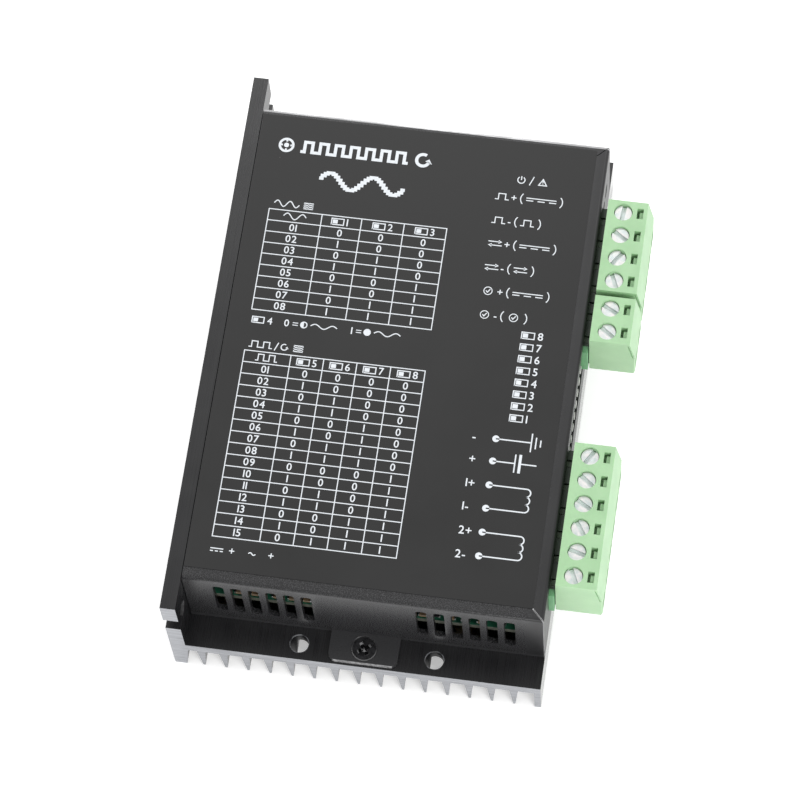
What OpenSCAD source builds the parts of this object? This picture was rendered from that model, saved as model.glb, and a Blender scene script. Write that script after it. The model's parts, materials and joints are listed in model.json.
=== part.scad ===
// Stepper driver module: a finned heat sink, a folded steel cover, a circuit board that holds
// the power stage, plug-in screw terminals and a row of setting switches. Millimetres.
// Origin: on the outer face of the heat sink's wall, midway between the two wall slots.
// +X runs from the wall to the terminals, +Y along the heat sink, +Z from the fins to the cover.

/* [Case] */
// Length of the heat sink, along Y
sink_len = 118; // [114:1:126]
// Width of the case from the wall to the far leg, along X
case_w = 75.5; // [75.5:0.5:80]
// Height of the case from the fin tips to the top of the cover
case_h = 33; // [33:0.5:36]
// Height of the top of the case above the wall slots
slot_drop = 9.5; // [8:0.5:12]

/* [Heat sink] */
// Thickness of the upright wall
wall_t = 3.1; // [2.5:0.1:4]
// Thickness of the plate between the fins and the board
plate_t = 3; // [3:0.1:4]
// Height of the fins and legs under the plate
fin_h = 8.5; // [7:0.5:9]
// Number of thin fins
fin_count = 15; // [9:1:16]
// Distance between neighbouring fins
fin_pitch = 4.565; // [4:0.005:4.6]
// Thickness of a fin where it leaves the plate
fin_root = 1.75; // [1:0.05:2]
// Thickness of a fin at its rounded tip
fin_tip = 0.5; // [0.4:0.05:1]
// Thickness of the plain leg under the terminal side
end_leg_t = 1.35; // [1:0.05:3]

/* [Mounting] */
// Distance between the two wall slots
slot_spacing = 112; // [110:0.5:112]
// Width of a wall slot
slot_w = 4.8; // [4:0.1:5.5]
// Distance between the flange holes along X
flange_hole_dx = 27.55; // [24:0.05:30]
// Distance between the flange holes along Y
flange_hole_dy = 111.3; // [110.5:0.1:112]
// Diameter of a flange hole
flange_hole_d = 3.75; // [3.2:0.05:4.2]

/* [Cover] */
// Length of the cover, along Y
cover_len = 104.3; // [104:0.1:105]
// Thickness of the cover's sheet
sheet_t = 1.2; // [1:0.1:1.2]
// Outer radius of the cover's bends
bend_r = 0.7; // [0.5:0.1:3]
// Width of a vent slot
vent_w = 2.2; // [1.5:0.1:2.6]
// Height of a vent slot
vent_h = 13.6; // [8:0.1:14]
// Distance between neighbouring vent slots
vent_pitch = 3.53; // [3:0.01:3.6]
// Width of the cover's screw tabs
tab_w = 14.1; // [9:0.1:18]

/* [Terminals] */
// Distance between neighbouring terminals
pole_pitch = 5.08; // [5.08]
// Distance from the wall's outer face to the terminal screws
screw_x = 80.1; // [80.1:0.1:81]
// How far the terminals stand above the cover
plug_rise = 1.8; // [1.5:0.1:2.5]

/* [Switches] */
// Number of setting switches
dip_ways = 8; // [4:1:8]
// Travel of a switch from off to on
dip_travel = 1.6; // [1:0.1:1.7]

/* [Hidden] */
STATIC_NODES = [
    "heat_sink", "cover", "cover_label", "cover_screws", "main_board", "board_standoffs",
    "inner_screws", "power_transistors", "transistor_frames", "insulating_pad", "clamp_bar",
    "bulk_capacitors", "power_inductor", "sense_resistors", "control_chips",
    "component_leads", "header_4way", "header_2way", "header_6way", "header_pins",
    "dip_switch_body", "status_leds"
];
PLUG_NODES = [
    for (ways = [4, 2, 6], part = ["plug_", "plug_contacts_"])
        str(part, ways, "way")
];
// Terminals and switches are numbered from 1, starting at the +Y end.
terminal_count = 12;

$fn = 48;
eps = 0.5;          // how far a cutter runs past the face that it opens
gap = 0.1;          // clearance round parts that only locate each other
thread_d = 2.9;     // thread of every M3 screw
tapped_d = 3.0;     // tapped hole for it
clear_d = 3.3;      // clearance hole for it

// Heights
top_z = slot_drop;
rest_z = top_z - case_h;
plate_top = rest_z + fin_h + plate_t;
plate_bottom = rest_z + fin_h;

// Heat sink
leg_root_t = 3.4;
leg_tip_t = 2.5;
first_fin_x = 6.1;
fin_len = fin_h - 0.3 - fin_tip / 2;
flange_hole_x = 39.775;

// Cover
cover_x0 = wall_t + 0.15;
cover_half = cover_len / 2;
cover_side_x = case_w - sheet_t;
mitre_len = 3.4;
mitre_w = 0.16;
tab_x = 39.25;
tab_end_y = 58.5;
tab_r = 1.5;
tab_screw_y = 55.4;
csk_d = 5.2;
csk_h = 1.1;
cover_screw_len = 4;
vent_r = 0.8;
vents_per_group = 6;
vent_first_x = [10.25, 50.95];
vent_z = -0.3;
label_t = 0.12;
label_x1 = 73.0;
label_y = [-49.65, 50.9];

// Board
board_t = 1.6;
board_z = rest_z + 18.9;
board_top = board_z + board_t;
board_x = [4.6, 73.4];
board_half = 50.2;
standoff_at = [for (x = [8.2, 58.6], y = [-46, 46]) [x, y]];
standoff_af = 5.5;
standoff_stud = 2.5;
screw_len = 8;
low_head_d = 5.4;
low_head_h = 1.2;

// Power stage: transistors lie flat on the plate, in four pairs
pad_t = 0.3;
transistor_pitch = 10.5;
pair_gap = 3.2;
transistor_w = 10;
transistor_y = [for (i = [0:7]) (i - 3.5) * transistor_pitch + (floor(i / 2) - 1.5) * pair_gap];
frame_x = 12.5;
frame_t = 1.3;
body_x = [18.9, 28.1];
body_h = 4.5;
lead_bend_x = 30.6;
lead_pitch = 2.54;
lead_w = 0.8;
lead_t = 0.5;
frame_z = plate_top + pad_t;
bar_x = [20.5, 26.5];
bar_t = 1.0;
bar_z = frame_z + body_h;
clamp_y = [for (k = [-1:1]) k * (2 * transistor_pitch + pair_gap)];
clamp_x = (bar_x[0] + bar_x[1]) / 2;

// Parts on the board
can_d = 10;
can_len = 20;
can_x = 18;
can_y = [-30, 8];
can_lift = 0.3;
inductor_at = [46, -24];
resistor_at = [for (y = [-38, -14, 14, 38]) [36, y]];
// Each chip: centre x, centre y, length along X, length along Y, height, leads per end, lead pitch
chips = [
    [45, 6, 7, 7, 1.4, 8, 0.8],
    [36, -27, 4, 5, 1.5, 4, 1.27],
    [36, 26, 4, 5, 1.5, 4, 1.27],
    [56, 33, 4.4, 4.4, 2.0, 2, 2.54],
    [56, 24, 4.4, 4.4, 2.0, 2, 2.54],
    [56, 15, 4.4, 4.4, 2.0, 2, 2.54]
];
chip_lift = 0.1;
wing_reach = 1.1;
wing_t = 0.2;
fine_lead = 0.5;
fine_hole = 0.9;

// Terminals: the first screw of each block, and how many poles it has
blocks = [[36.97, 4], [15.43, 2], [-16.90, 6]];
pole_y = [for (b = blocks, k = [0:b[1] - 1]) b[0] - k * pole_pitch];
pin_z = board_top + 4.3;
pin_w = 1.0;
pin_x = 64.2;
pin_end_x = 74.4;
pin_hole = 1.6;
header_x = [65.6, 76.6];
header_h = 8.6;
header_wall = 0.9;
header_back = 3;
header_over = 0.4;
nose_x = 69.2;
nose_margin = 0.7;
nose_half_h = 3.3;
key_w = 1.2;
key_len = 3.8;
key_h = 0.7;
plug_x = 76.8;
plug_top = top_z + plug_rise;
plug_bottom = board_top;
plug_slope_x = screw_x + 4.9;
plug_face_x = screw_x + 6.1;
plug_slope_z = plug_top - 6.8;
chamber_x = [77.6, 82.6];
chamber_half = 2.1;
chamber_z = [plug_bottom + 0.5, plug_top - 3.7];
screw_hole_d = 3.8;
screw_head_d = 3.5;
screw_head_h = 1.8;
screw_recess = 0.7;
driver_slot_w = 0.9;
// Rest angle of each driver slot, seen from above, anticlockwise from +X
slot_angle = [84, 146, 57, 113, 152, 144, 60, 142, 149, 123, 164, 115];
socket_w = 2.2;
socket_bore = 1.1;
strip_t = 0.7;
strip_z = [pin_z + socket_w / 2 - strip_t, pin_z + socket_w / 2];
cage_half = 2.0;
cage_wall = 0.5;
cage_bar = 0.7;
cage_len = 4.4;
cage_z = chamber_z[0] + 0.1;
cage_block_z = [strip_z[1] + 0.2, strip_z[1] + 2.5];
wire_half = 2.05;

// Switches
dip_y = -3.27;
dip_pitch = 2.54;
dip_x = [69, 75];
dip_len = 20.3;
dip_h = 9.1;
dip_front = 0.8;
dip_z = board_top + dip_h / 2;
slider_w = 1.2;
slider_h = 1.7;
slider_foot_w = 1.9;
slider_foot_h = 2.6;
slider_stand = 0.45;
dip_row_x = [67.8, 71];

// Status lights
led_y = [41.9, 45.9];
led_d = 3;
led_z = pin_z;
led_x = [69.7, 73.7];
led_lead_x = 69;

// Side opening of the cover: from the near end of the lower header to the far end of the upper one
function block_end(b, side) = b[0] - (b[1] - 1) / 2 * pole_pitch
    + side * (b[1] / 2 * pole_pitch + header_over);
side_open_y = [block_end(blocks[2], -1) - 0.3, block_end(blocks[0], 1) + 0.3];
side_open_z = [board_top - 0.4, board_top + header_h + 0.8];

function fin_x(i) = first_fin_x + i * fin_pitch;
function dip_way_y(i) = dip_y + (i - (dip_ways + 1) / 2) * dip_pitch;

// ---- shared shapes ----

// A box given by its low and high corners
module span(low, high) {
    translate(low)
        cube(high - low);
}

// Extrudes a shape drawn in X and Z along Y, from y0 to y1
module along_y(y0, y1) {
    translate([0, y1, 0])
        rotate([90, 0, 0])
            linear_extrude(y1 - y0)
                children();
}

// Extrudes a shape drawn in Y and Z along X, from x0 to x1
module along_x(x0, x1) {
    translate([x0, 0, 0])
        rotate([90, 0, 90])
            linear_extrude(x1 - x0)
                children();
}

// A rectangle with round corners, centred
module round_rect(w, h, r) {
    square([w - 2 * r, h], center = true);
    square([w, h - 2 * r], center = true);
    for (sx = [-1, 1], sy = [-1, 1])
        translate([sx * (w / 2 - r), sy * (h / 2 - r)])
            circle(r);
}

// A row of upright round holes or pegs at points [x, y]
module pegs(points, d, z0, z1) {
    for (p = points)
        translate([p[0], p[1], z0])
            cylinder(d = d, h = z1 - z0);
}

// ---- heat sink ----

module sink_profile() {
    polygon([
        [0, top_z], [0, rest_z], [leg_tip_t, rest_z], [leg_root_t, plate_bottom],
        [case_w - end_leg_t, plate_bottom], [case_w - end_leg_t, rest_z],
        [case_w, rest_z], [case_w, plate_top], [wall_t, plate_top], [wall_t, top_z]
    ]);
    for (i = [0:fin_count - 1])
        translate([fin_x(i), plate_bottom]) {
            polygon([
                [-fin_root / 2, eps], [-fin_root / 2, 0], [-fin_tip / 2, -fin_len],
                [fin_tip / 2, -fin_len], [fin_root / 2, 0], [fin_root / 2, eps]
            ]);
            translate([0, -fin_len])
                circle(d = fin_tip, $fn = 16);
        }
}

// A slot that is open at the end of the wall
module wall_slot(side) {
    translate([-eps, side * slot_spacing / 2, 0]) {
        rotate([0, 90, 0])
            cylinder(d = slot_w, h = wall_t + 2 * eps);
        translate([0, side > 0 ? 0 : -slot_w, -slot_w / 2])
            cube([wall_t + 2 * eps, slot_w, slot_w]);
    }
}

module heat_sink() {
    color("#2c2c2e")
        difference() {
            along_y(-sink_len / 2, sink_len / 2)
                sink_profile();
            for (side = [-1, 1])
                wall_slot(side);
            pegs(
                [for (sx = [-1, 1], sy = [-1, 1])
                    [flange_hole_x + sx * flange_hole_dx / 2, sy * flange_hole_dy / 2]],
                flange_hole_d, rest_z - eps, plate_top + eps
            );
            pegs(
                concat(
                    standoff_at,
                    [for (y = clamp_y) [clamp_x, y]],
                    [for (s = [-1, 1]) [tab_x, s * tab_screw_y]]
                ),
                tapped_d, plate_bottom - eps, plate_top + eps
            );
        }
}

// ---- cover ----

// A block whose top edges are rounded on the +X side and at both ends
module bent_block(x0, x1, half_y, z0, z1, r) {
    intersection() {
        along_y(-half_y, half_y)
            union() {
                translate([x0, z0])
                    square([x1 - r - x0, z1 - z0]);
                translate([x0, z0])
                    square([x1 - x0, z1 - r - z0]);
                translate([x1 - r, z1 - r])
                    circle(r);
            }
        along_x(x0, x1)
            union() {
                translate([-half_y + r, z0])
                    square([2 * (half_y - r), z1 - z0]);
                translate([-half_y, z0])
                    square([2 * half_y, z1 - r - z0]);
                for (s = [-1, 1])
                    translate([s * (half_y - r), z1 - r])
                        circle(r);
            }
    }
}

// The tab that a cover screw holds, at the end on the given side
module screw_tab(side) {
    translate([tab_x, side * (cover_half - sheet_t), plate_top])
        mirror([0, side > 0 ? 0 : 1, 0])
            linear_extrude(sheet_t)
                difference() {
                    length = tab_end_y - cover_half + sheet_t;
                    union() {
                        translate([-tab_w / 2, 0])
                            square([tab_w, length - tab_r]);
                        translate([-tab_w / 2 + tab_r, 0])
                            square([tab_w - 2 * tab_r, length]);
                        for (s = [-1, 1])
                            translate([s * (tab_w / 2 - tab_r), length - tab_r])
                                circle(tab_r);
                    }
                    translate([0, tab_screw_y - cover_half + sheet_t])
                        circle(d = clear_d);
                }
}

module countersink(side, extra) {
    translate([tab_x, side * tab_screw_y, plate_top + sheet_t - csk_h])
        cylinder(d1 = thread_d + extra, d2 = csk_d + extra, h = csk_h);
}

module cover() {
    color("#3a3a3c")
        difference() {
            union() {
                difference() {
                    bent_block(cover_x0, case_w, cover_half, plate_top, top_z, bend_r);
                    bent_block(
                        cover_x0 - 1, cover_side_x, cover_half - sheet_t,
                        plate_top - 1, top_z - sheet_t, max(bend_r - sheet_t, 0.2)
                    );
                }
                for (side = [-1, 1])
                    screw_tab(side);
            }
            // vent slots, through both end panels
            along_y(-cover_half - eps, cover_half + eps)
                for (x0 = vent_first_x, i = [0:vents_per_group - 1])
                    translate([x0 + i * vent_pitch, vent_z])
                        round_rect(vent_w, vent_h, vent_r);
            // opening for the headers and the switches
            along_x(cover_side_x - eps, case_w + eps)
                translate([
                    (side_open_y[0] + side_open_y[1]) / 2,
                    (side_open_z[0] + side_open_z[1]) / 2
                ])
                    round_rect(
                        side_open_y[1] - side_open_y[0],
                        side_open_z[1] - side_open_z[0], 1
                    );
            // holes for the status lights
            along_x(cover_side_x - eps, case_w + eps)
                for (y = led_y)
                    translate([y, led_z])
                        circle(d = led_d + 2 * gap);
            for (side = [-1, 1]) {
                countersink(side, 2 * gap);
                // the open mitre between the end panel and the side panel
                translate([case_w, side * cover_half, plate_top - eps])
                    rotate(side * 45)
                        translate([-mitre_len, -mitre_w / 2, 0])
                            cube([mitre_len + eps, mitre_w, top_z - plate_top + 2 * eps]);
            }
        }
}

module cover_label() {
    color("#2f2f31")
        span(
            [cover_x0 + gap, label_y[0], top_z],
            [label_x1, label_y[1], top_z + label_t]
        );
}

// A cross for a screwdriver, cut down from z = 0
module cross_recess(length, depth) {
    for (a = [0, 90])
        rotate(a)
            translate([-length / 2, -0.4, -depth])
                cube([length, 0.8, depth + eps]);
}

module cover_screws() {
    color("#1c1c1e")
        for (side = [-1, 1])
            difference() {
                union() {
                    countersink(side, 0);
                    translate([tab_x, side * tab_screw_y, plate_top + sheet_t - cover_screw_len])
                        cylinder(d = thread_d, h = cover_screw_len - csk_h);
                }
                translate([tab_x, side * tab_screw_y, plate_top + sheet_t])
                    rotate(35)
                        cross_recess(3, 0.8);
            }
}

// ---- board and its fixings ----

// Where each fine lead goes through the board
can_lead_at = [for (y = can_y, s = [-1, 1]) [can_x + s * 2.5, y + can_len + 2]];
led_lead_at = [for (y = led_y, s = [-1, 1]) [led_lead_x, y + s * 0.6]];
dip_lead_at = [for (i = [1:dip_ways], x = dip_row_x) [x, dip_way_y(i)]];
transistor_lead_at = [
    for (y = transistor_y, k = [-1:1]) [lead_bend_x + lead_t / 2, y + k * lead_pitch]
];

module main_board() {
    color("#1f6b45")
        difference() {
            span([board_x[0], -board_half, board_z], [board_x[1], board_half, board_top]);
            pegs(standoff_at, clear_d, board_z - eps, board_top + eps);
            pegs([for (y = pole_y) [pin_x, y]], pin_hole, board_z - eps, board_top + eps);
            pegs(transistor_lead_at, 1.1, board_z - eps, board_top + eps);
            pegs(
                concat(can_lead_at, led_lead_at, dip_lead_at),
                fine_hole, board_z - eps, board_top + eps
            );
        }
}

module board_standoffs() {
    color("#c9b26a")
        for (p = standoff_at)
            translate([p[0], p[1], plate_top])
                difference() {
                    union() {
                        cylinder(d = standoff_af / cos(30), h = board_z - plate_top, $fn = 6);
                        translate([0, 0, -standoff_stud])
                            cylinder(d = thread_d, h = standoff_stud + 0.4);
                    }
                    translate([0, 0, 0.8])
                        cylinder(d = tapped_d, h = board_z - plate_top);
                }
}

module low_head_screw() {
    difference() {
        union() {
            cylinder(d = low_head_d, h = low_head_h);
            translate([0, 0, -screw_len])
                cylinder(d = thread_d, h = screw_len + 0.4);
        }
        translate([0, 0, low_head_h])
            cross_recess(2.8, 0.8);
    }
}

module inner_screws() {
    color("#a8acb0") {
        for (p = standoff_at)
            translate([p[0], p[1], board_top])
                low_head_screw();
        for (y = clamp_y)
            translate([clamp_x, y, bar_z + bar_t])
                low_head_screw();
    }
}

// ---- power stage ----

module power_transistors() {
    color("#222224")
        for (y = transistor_y)
            along_y(y - transistor_w / 2, y + transistor_w / 2)
                polygon([
                    [body_x[0], frame_z + frame_t], [body_x[1], frame_z + frame_t],
                    [body_x[1], frame_z + body_h - 0.4],
                    [body_x[1] - 0.4, frame_z + body_h],
                    [body_x[0] + 0.8, frame_z + body_h],
                    [body_x[0], frame_z + body_h - 1.4]
                ]);
}

module transistor_frames() {
    lead_z = frame_z + 2.4;
    color("#b9bcc0")
        for (y = transistor_y) {
            difference() {
                span(
                    [frame_x, y - transistor_w / 2 + 0.1, frame_z],
                    [body_x[1] - 0.6, y + transistor_w / 2 - 0.1, frame_z + frame_t]
                );
                pegs([[frame_x + 2.8, y]], 3.8, frame_z - eps, frame_z + frame_t + eps);
            }
            for (k = [-1:1])
                along_y(y + k * lead_pitch - lead_w / 2, y + k * lead_pitch + lead_w / 2)
                    polygon([
                        [body_x[1], lead_z], [lead_bend_x + lead_t, lead_z],
                        [lead_bend_x + lead_t, board_top + 1], [lead_bend_x, board_top + 1],
                        [lead_bend_x, lead_z + lead_t], [body_x[1], lead_z + lead_t]
                    ]);
        }
}

module insulating_pad() {
    color("#9aa0a6")
        difference() {
            span([frame_x - 0.8, -47.4, plate_top], [body_x[1] + 0.6, 47.4, frame_z]);
            pegs([for (y = clamp_y) [clamp_x, y]], clear_d, plate_top - eps, frame_z + eps);
        }
}

module clamp_bar() {
    color("#8d9196")
        difference() {
            translate([clamp_x, 0, bar_z])
                linear_extrude(bar_t)
                    round_rect(bar_x[1] - bar_x[0], 92, 1.2);
            pegs([for (y = clamp_y) [clamp_x, y]], clear_d, bar_z - eps, bar_z + bar_t + eps);
        }
}

// ---- parts on the board ----

module bulk_capacitors() {
    r = can_d / 2;
    color("#23262b")
        for (y = can_y)
            translate([can_x, y, board_top + can_lift + r])
                rotate([-90, 0, 0])
                    rotate_extrude()
                        polygon([
                            [0, 0], [r - 0.5, 0], [r, 0.5], [r, can_len - 3.4],
                            [r - 0.45, can_len - 2.9], [r, can_len - 2.4],
                            [r, can_len - 0.4], [r - 0.4, can_len], [0, can_len]
                        ]);
}

module power_inductor() {
    color("#4a4a4c")
        translate([inductor_at[0], inductor_at[1], board_top]) {
            linear_extrude(1)
                round_rect(10, 10, 1.5);
            translate([0, 0, 0.9])
                cylinder(d = 9.4, h = 3.6);
        }
}

module sense_resistors() {
    color("#1b1b1d")
        for (p = resistor_at)
            span([p[0] - 1.6, p[1] - 3.2, board_top], [p[0] + 1.6, p[1] + 3.2, board_top + 0.6]);
}

module control_chips() {
    color("#1a1a1c")
        for (c = chips)
            translate([c[0], c[1], board_top + chip_lift])
                difference() {
                    linear_extrude(c[4])
                        square([c[2], c[3]], center = true);
                    translate([-c[2] / 2 + 1, c[3] / 2 - 1, c[4] - 0.15])
                        cylinder(d = 0.7, h = eps, $fn = 24);
                }
}

// A gull-wing lead that leaves a chip's side at height h and lands on the board
module wing_lead(h, w) {
    translate([0, -w / 2, 0])
        along_y(0, w)
            polygon([
                [0, h + wing_t], [0.35, h + wing_t], [0.65, wing_t], [wing_reach, wing_t],
                [wing_reach, 0], [0.5, 0], [0.25, h], [0, h]
            ]);
}

module chip_leads() {
    for (c = chips, a = [0, 180], k = [0:c[5] - 1])
        translate([c[0], c[1] + (k - (c[5] - 1) / 2) * c[6], board_top])
            mirror([a == 0 ? 0 : 1, 0, 0])
                translate([c[2] / 2, 0, 0])
                    wing_lead(c[4] / 2, 0.35);
}

// A lead that runs from a part along one direction, then down through the board
module down_lead(p, from, z) {
    h = fine_lead / 2;
    span([p[0] - h, p[1] - h, board_z - 1], [p[0] + h, p[1] + h, z + h]);
    span(
        [min(from[0], p[0] - h), min(from[1], p[1] - h), z - h],
        [max(from[0], p[0] + h), max(from[1], p[1] + h), z + h]
    );
}

module component_leads() {
    color("#c4c6c9") {
        chip_leads();
        for (i = [0:len(can_lead_at) - 1]) {
            p = can_lead_at[i];
            down_lead(p, [p[0] - fine_lead / 2, p[1] - 2], board_top + can_lift + can_d / 2);
        }
        for (p = led_lead_at)
            down_lead(p, [led_x[0], p[1] - fine_lead / 2], led_z);
        for (i = [1:dip_ways]) {
            down_lead([dip_row_x[0], dip_way_y(i)], [dip_x[0], dip_way_y(i) - fine_lead / 2], dip_z);
            h = fine_lead / 2;
            span(
                [dip_row_x[1] - h, dip_way_y(i) - h, board_z - 1],
                [dip_row_x[1] + h, dip_way_y(i) + h, board_top]
            );
        }
    }
}

// ---- headers ----

module header(block) {
    lo = block_end(block, -1);
    hi = block_end(block, 1);
    color("#5fae74")
        difference() {
            span([header_x[0], lo, board_top], [header_x[1], hi, board_top + header_h]);
            span(
                [header_x[0] + header_back, lo + 1, board_top + header_wall],
                [header_x[1] + eps, hi - 1, board_top + header_h - header_wall]
            );
            for (k = [0:block[1] - 1]) {
                y = block[0] - k * pole_pitch;
                half = pin_w / 2 + 0.02;
                span(
                    [header_x[0] - eps, y - half, pin_z - half],
                    [header_x[0] + header_back + eps, y + half, pin_z + half]
                );
                span(
                    [header_x[1] - key_len - 0.2, y - key_w / 2 - 0.2, pin_z],
                    [header_x[1] + eps, y + key_w / 2 + 0.2, board_top + header_h + eps]
                );
            }
        }
}

module header_pins() {
    h = pin_w / 2;
    color("#d0d2d4")
        for (y = pole_y) {
            span([pin_x - h, y - h, board_z - 1.6], [pin_x + h, y + h, pin_z + h]);
            span([pin_x - h, y - h, pin_z - h], [pin_end_x, y + h, pin_z + h]);
        }
}

// ---- plugs ----

module plug_profile() {
    polygon([
        [plug_x, plug_bottom], [plug_x, plug_top], [plug_slope_x, plug_top],
        [plug_face_x, plug_slope_z], [plug_face_x, plug_bottom + 0.4],
        [plug_face_x - 0.4, plug_bottom]
    ]);
}

// Everything that is cut from a plug for one pole
module pole_cuts(y) {
    ledge_z = plug_top - screw_recess - screw_head_h;
    span(
        [chamber_x[0], y - chamber_half, chamber_z[0]],
        [chamber_x[1], y + chamber_half, chamber_z[1]]
    );
    // the contact's passage from the nose into the chamber
    half = socket_w / 2 + gap;
    span([nose_x - eps, y - half, pin_z - half], [chamber_x[0] + eps, y + half, pin_z + half]);
    // the screw's bore and the recess for its head
    pegs([[screw_x, y]], tapped_d + gap, chamber_z[1] - eps, plug_top);
    pegs([[screw_x, y]], screw_hole_d, ledge_z, plug_top + eps);
    // the wire's way in
    span(
        [chamber_x[1] - eps, y - wire_half, -wire_half],
        [plug_face_x + eps, y + wire_half, wire_half]
    );
    // the small window beside the screw, with a stop in it
    window_x = [screw_x + 2.8, screw_x + 4.1];
    difference() {
        span([window_x[0], y - 1.15, plug_top - 2.6], [window_x[1], y + 1.15, plug_top + eps]);
        span([window_x[1] - 0.75, y - 0.75, plug_top - 3], [window_x[1] + 1, y + 0.7, plug_top - 0.9]);
    }
}

module plug(block) {
    poles = block[1];
    mid = block[0] - (poles - 1) / 2 * pole_pitch;
    half = poles / 2 * pole_pitch;
    color("#a9dba4")
        difference() {
            union() {
                along_y(mid - half, mid + half)
                    plug_profile();
                span(
                    [nose_x, mid - half + nose_margin, pin_z - nose_half_h],
                    [plug_x + eps, mid + half - nose_margin, pin_z + nose_half_h]
                );
                for (k = [0:poles - 1])
                    translate([0, block[0] - k * pole_pitch, 0])
                        span(
                            [plug_x - key_len, -key_w / 2, pin_z],
                            [plug_x + eps, key_w / 2, pin_z + nose_half_h + key_h]
                        );
            }
            for (k = [0:poles - 1])
                pole_cuts(block[0] - k * pole_pitch);
            // shallow grooves between the poles on the wire side
            for (k = [0:poles])
                translate([plug_face_x + 0.2, mid + half - k * pole_pitch, plug_bottom - eps])
                    cylinder(r = 0.4, h = plug_slope_z - plug_bottom + eps, $fn = 24);
            // the line where the sloping lip meets each end of the plug
            for (s = [-1, 1])
                translate([plug_face_x - 0.6, mid + s * half, plug_slope_z + 0.2])
                    rotate([0, -10, 0])
                        translate([0, -0.3, 0])
                            cube([0.2, 0.6, 5.8]);
        }
}

module plug_contacts(block) {
    half = socket_w / 2;
    color("#cfcaa8")
        for (k = [0:block[1] - 1])
            translate([0, block[0] - k * pole_pitch, 0])
                difference() {
                    union() {
                        span([70, -half, pin_z - half], [75.6, half, pin_z + half]);
                        span([75, -half, strip_z[0]], [chamber_x[1] - 0.2, half, strip_z[1]]);
                    }
                    span(
                        [69, -socket_bore / 2, pin_z - socket_bore / 2],
                        [75.6 + eps, socket_bore / 2, pin_z + socket_bore / 2]
                    );
                }
}

module terminal_screw(i) {
    head_top = plug_top - screw_recess;
    head_z = head_top - screw_head_h;
    tip_z = strip_z[1] + 0.05;
    color("#c2c0bd")
        translate([screw_x, pole_y[i - 1], 0])
            difference() {
                union() {
                    translate([0, 0, head_z])
                        cylinder(d = screw_head_d, h = screw_head_h);
                    translate([0, 0, tip_z])
                        cylinder(d = thread_d, h = head_z - tip_z + 0.2);
                }
                translate([0, 0, head_top - 0.9])
                    rotate(slot_angle[i - 1])
                        translate([-screw_head_d, -driver_slot_w / 2, 0])
                            cube([2 * screw_head_d, driver_slot_w, 0.9 + eps]);
            }
}

// The rising cage: the screw turns in its upper block, and its lower bar lifts the wire
module wire_clamp(i) {
    inner = cage_half - cage_wall;
    color("#b5a873")
        translate([screw_x, pole_y[i - 1], 0])
            difference() {
                span(
                    [-cage_len / 2, -cage_half, cage_z],
                    [cage_len / 2, cage_half, cage_block_z[1]]
                );
                span(
                    [-cage_len, -inner, cage_z + cage_bar],
                    [cage_len, inner, cage_block_z[0]]
                );
                pegs([[0, 0]], tapped_d, cage_block_z[0] - eps, cage_block_z[1] + eps);
            }
}

// ---- switches and lights ----

module dip_switch_body() {
    foot_z0 = dip_z - (slider_foot_h + dip_travel) / 2 - gap;
    slot_z0 = dip_z - (slider_h + dip_travel) / 2 - gap;
    color("#202022")
        difference() {
            span(
                [dip_x[0], dip_y - dip_len / 2, board_top],
                [dip_x[1], dip_y + dip_len / 2, board_top + dip_h]
            );
            for (i = [1:dip_ways])
                translate([0, dip_way_y(i), 0]) {
                    span(
                        [dip_x[0] + 1.5, -slider_foot_w / 2 - gap, foot_z0],
                        [
                            dip_x[1] - dip_front, slider_foot_w / 2 + gap,
                            foot_z0 + slider_foot_h + dip_travel + 2 * gap
                        ]
                    );
                    span(
                        [dip_x[1] - dip_front - eps, -slider_w / 2 - gap, slot_z0],
                        [
                            dip_x[1] + eps, slider_w / 2 + gap,
                            slot_z0 + slider_h + dip_travel + 2 * gap
                        ]
                    );
                }
        }
}

// One switch lever, drawn in the off position at the lower end of its slot
module dip_slider(i) {
    z = dip_z - dip_travel / 2;
    back = dip_x[1] - dip_front - gap;
    color("#f0f0ee")
        translate([0, dip_way_y(i), 0]) {
            span(
                [back - 1.6, -slider_foot_w / 2, z - slider_foot_h / 2],
                [back, slider_foot_w / 2, z + slider_foot_h / 2]
            );
            span(
                [back - eps, -slider_w / 2, z - slider_h / 2],
                [dip_x[1] + slider_stand, slider_w / 2, z + slider_h / 2]
            );
        }
}

module status_leds() {
    color("#7fd08a")
        for (y = led_y)
            translate([led_x[0], y, led_z])
                rotate([0, 90, 0]) {
                    cylinder(d = led_d, h = led_x[1] - led_x[0]);
                    translate([0, 0, led_x[1] - led_x[0]])
                        intersection() {
                            sphere(d = led_d);
                            cylinder(d = led_d + 1, h = led_d);
                        }
                }
}

// ---- nodes ----

heat_sink();
cover();
cover_label();
cover_screws();
main_board();
board_standoffs();
inner_screws();
power_transistors();
transistor_frames();
insulating_pad();
clamp_bar();
bulk_capacitors();
power_inductor();
sense_resistors();
control_chips();
component_leads();
header(blocks[0]);  // header_4way
header(blocks[1]);  // header_2way
header(blocks[2]);  // header_6way
header_pins();
dip_switch_body();
status_leds();
plug(blocks[0]);  // plug_4way
plug(blocks[1]);  // plug_2way
plug(blocks[2]);  // plug_6way
plug_contacts(blocks[0]);  // plug_contacts_4way
plug_contacts(blocks[1]);  // plug_contacts_2way
plug_contacts(blocks[2]);  // plug_contacts_6way
for (i = [1:terminal_count])
    terminal_screw(i);
for (i = [1:terminal_count])
    wire_clamp(i);
for (i = [1:dip_ways])
    dip_slider(i);
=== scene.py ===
"""Looks for the stepper driver module: materials, print, small parts, lights and camera."""

import json
import math
import random

import bmesh
import bpy
from mathutils import Matrix, Quaternion, Vector


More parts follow.
